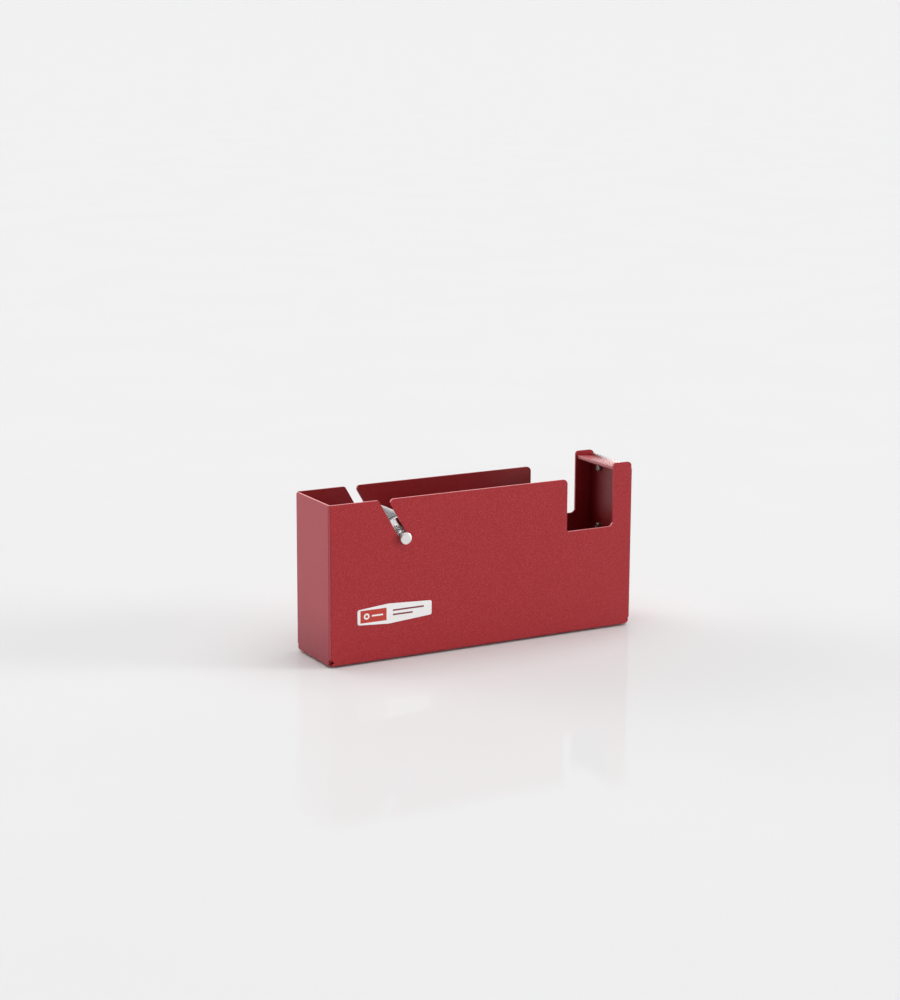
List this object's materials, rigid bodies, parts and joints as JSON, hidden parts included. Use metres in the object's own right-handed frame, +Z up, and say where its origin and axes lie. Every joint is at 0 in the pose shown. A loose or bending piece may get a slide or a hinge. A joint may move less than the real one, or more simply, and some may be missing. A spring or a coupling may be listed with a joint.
{
  "type": "bench tape dispenser",
  "caption": "Narrow folded-steel bench tape dispenser: an open box body, a lift-out knurled spindle in two slanted slots, and a saw-toothed cutter between two ears.",
  "frame": {"origin": "on the table, centre of the anti-slip pad's underside, under the middle of the body", "axes": "+X along the body towards the cutter, +Y to the rear side panel, +Z up"},
  "size_m": [0.212, 0.051, 0.1057],
  "materials": {
    "painted_shell": "semi-gloss red powder coat with a fine orange peel",
    "painted_cutter": "semi-gloss red powder coat",
    "blade_steel": "ground stainless steel",
    "rivet_metal": "dull aluminium",
    "ballast_steel": "rolled steel, oiled",
    "screw_steel": "zinc-plated steel",
    "pad_rubber": "matt textured rubber",
    "label_film": "satin printed vinyl film",
    "rod_steel": "ground steel rod",
    "knob_metal": "fine-turned aluminium",
    "collar_metal": "turned aluminium",
    "washer_nylon": "natural nylon",
    "drum_metal": "diamond-knurled aluminium",
    "cap_metal": "turned aluminium",
    "bush_steel": "ground steel"
  },
  "bodies": {
    "frame": {"body_shell": "painted_shell", "landing_plate": "painted_cutter", "cutter_bracket": "painted_cutter", "cutter_blade": "blade_steel", "bracket_rivets": "rivet_metal", "ballast_plate": "ballast_steel", "ballast_screws": "screw_steel", "anti_slip_pad": "pad_rubber", "front_label": "label_film"},
    "spindle": {"axle_rod": "rod_steel", "front_knob": "knob_metal", "rear_knob": "knob_metal", "front_collar": "collar_metal", "rear_collar": "collar_metal", "thrust_washers": "washer_nylon"},
    "drum": {"drum_sleeve": "drum_metal", "front_cap": "cap_metal", "rear_cap": "cap_metal", "front_bush": "bush_steel", "rear_bush": "bush_steel"}
  },
  "joints": [
    {"name": "spindle_lift", "type": "slide", "parent": "frame", "child": "spindle", "axis": [-0.5, 0, 0.866], "range_m": [0, 0.05]},
    {"name": "drum_spin", "type": "hinge", "parent": "spindle", "child": "drum", "pos_m": [-0.0557, 0, 0.07455], "axis": [0, 1, 0], "continuous": true}
  ]
}
